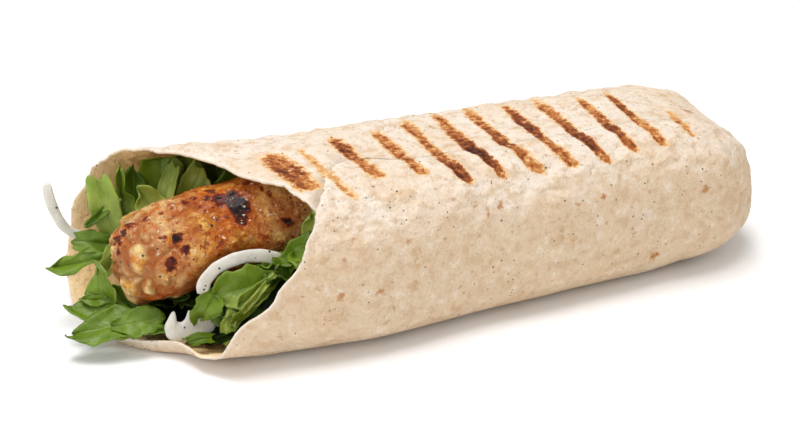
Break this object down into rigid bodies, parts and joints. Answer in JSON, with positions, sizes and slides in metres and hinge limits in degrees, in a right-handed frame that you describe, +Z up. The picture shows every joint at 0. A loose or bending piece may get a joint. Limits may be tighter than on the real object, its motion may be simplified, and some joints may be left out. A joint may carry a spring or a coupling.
{
  "type": "chicken kebab sandwich",
  "caption": "Grilled flatbread wrap, rolled and closed at one end, with a minced-chicken kebab, salad leaves and onion strips showing at its slanted open mouth.",
  "frame": {"origin": "on the resting face, under the middle of the roll", "axes": "+X along the roll towards its closed end, +Z up, -Y the side with the rolled front panel"},
  "size_m": [0.2681, 0.0899, 0.0598],
  "materials": {
    "flatbread": "dry matt flatbread, floury, with toasted specks and dark grill marks",
    "chicken": "oily browned mince with char patches and pepper",
    "salad": "fresh green leaf, satin with pale veins",
    "onion": "moist translucent white onion"
  },
  "bodies": {
    "root": {"flatbread": "flatbread", "chicken_kebab": "chicken", "salad": "salad", "onion_arc": "onion", "onion_tail": "onion", "onion_chunk": "onion"}
  },
  "joints": []
}
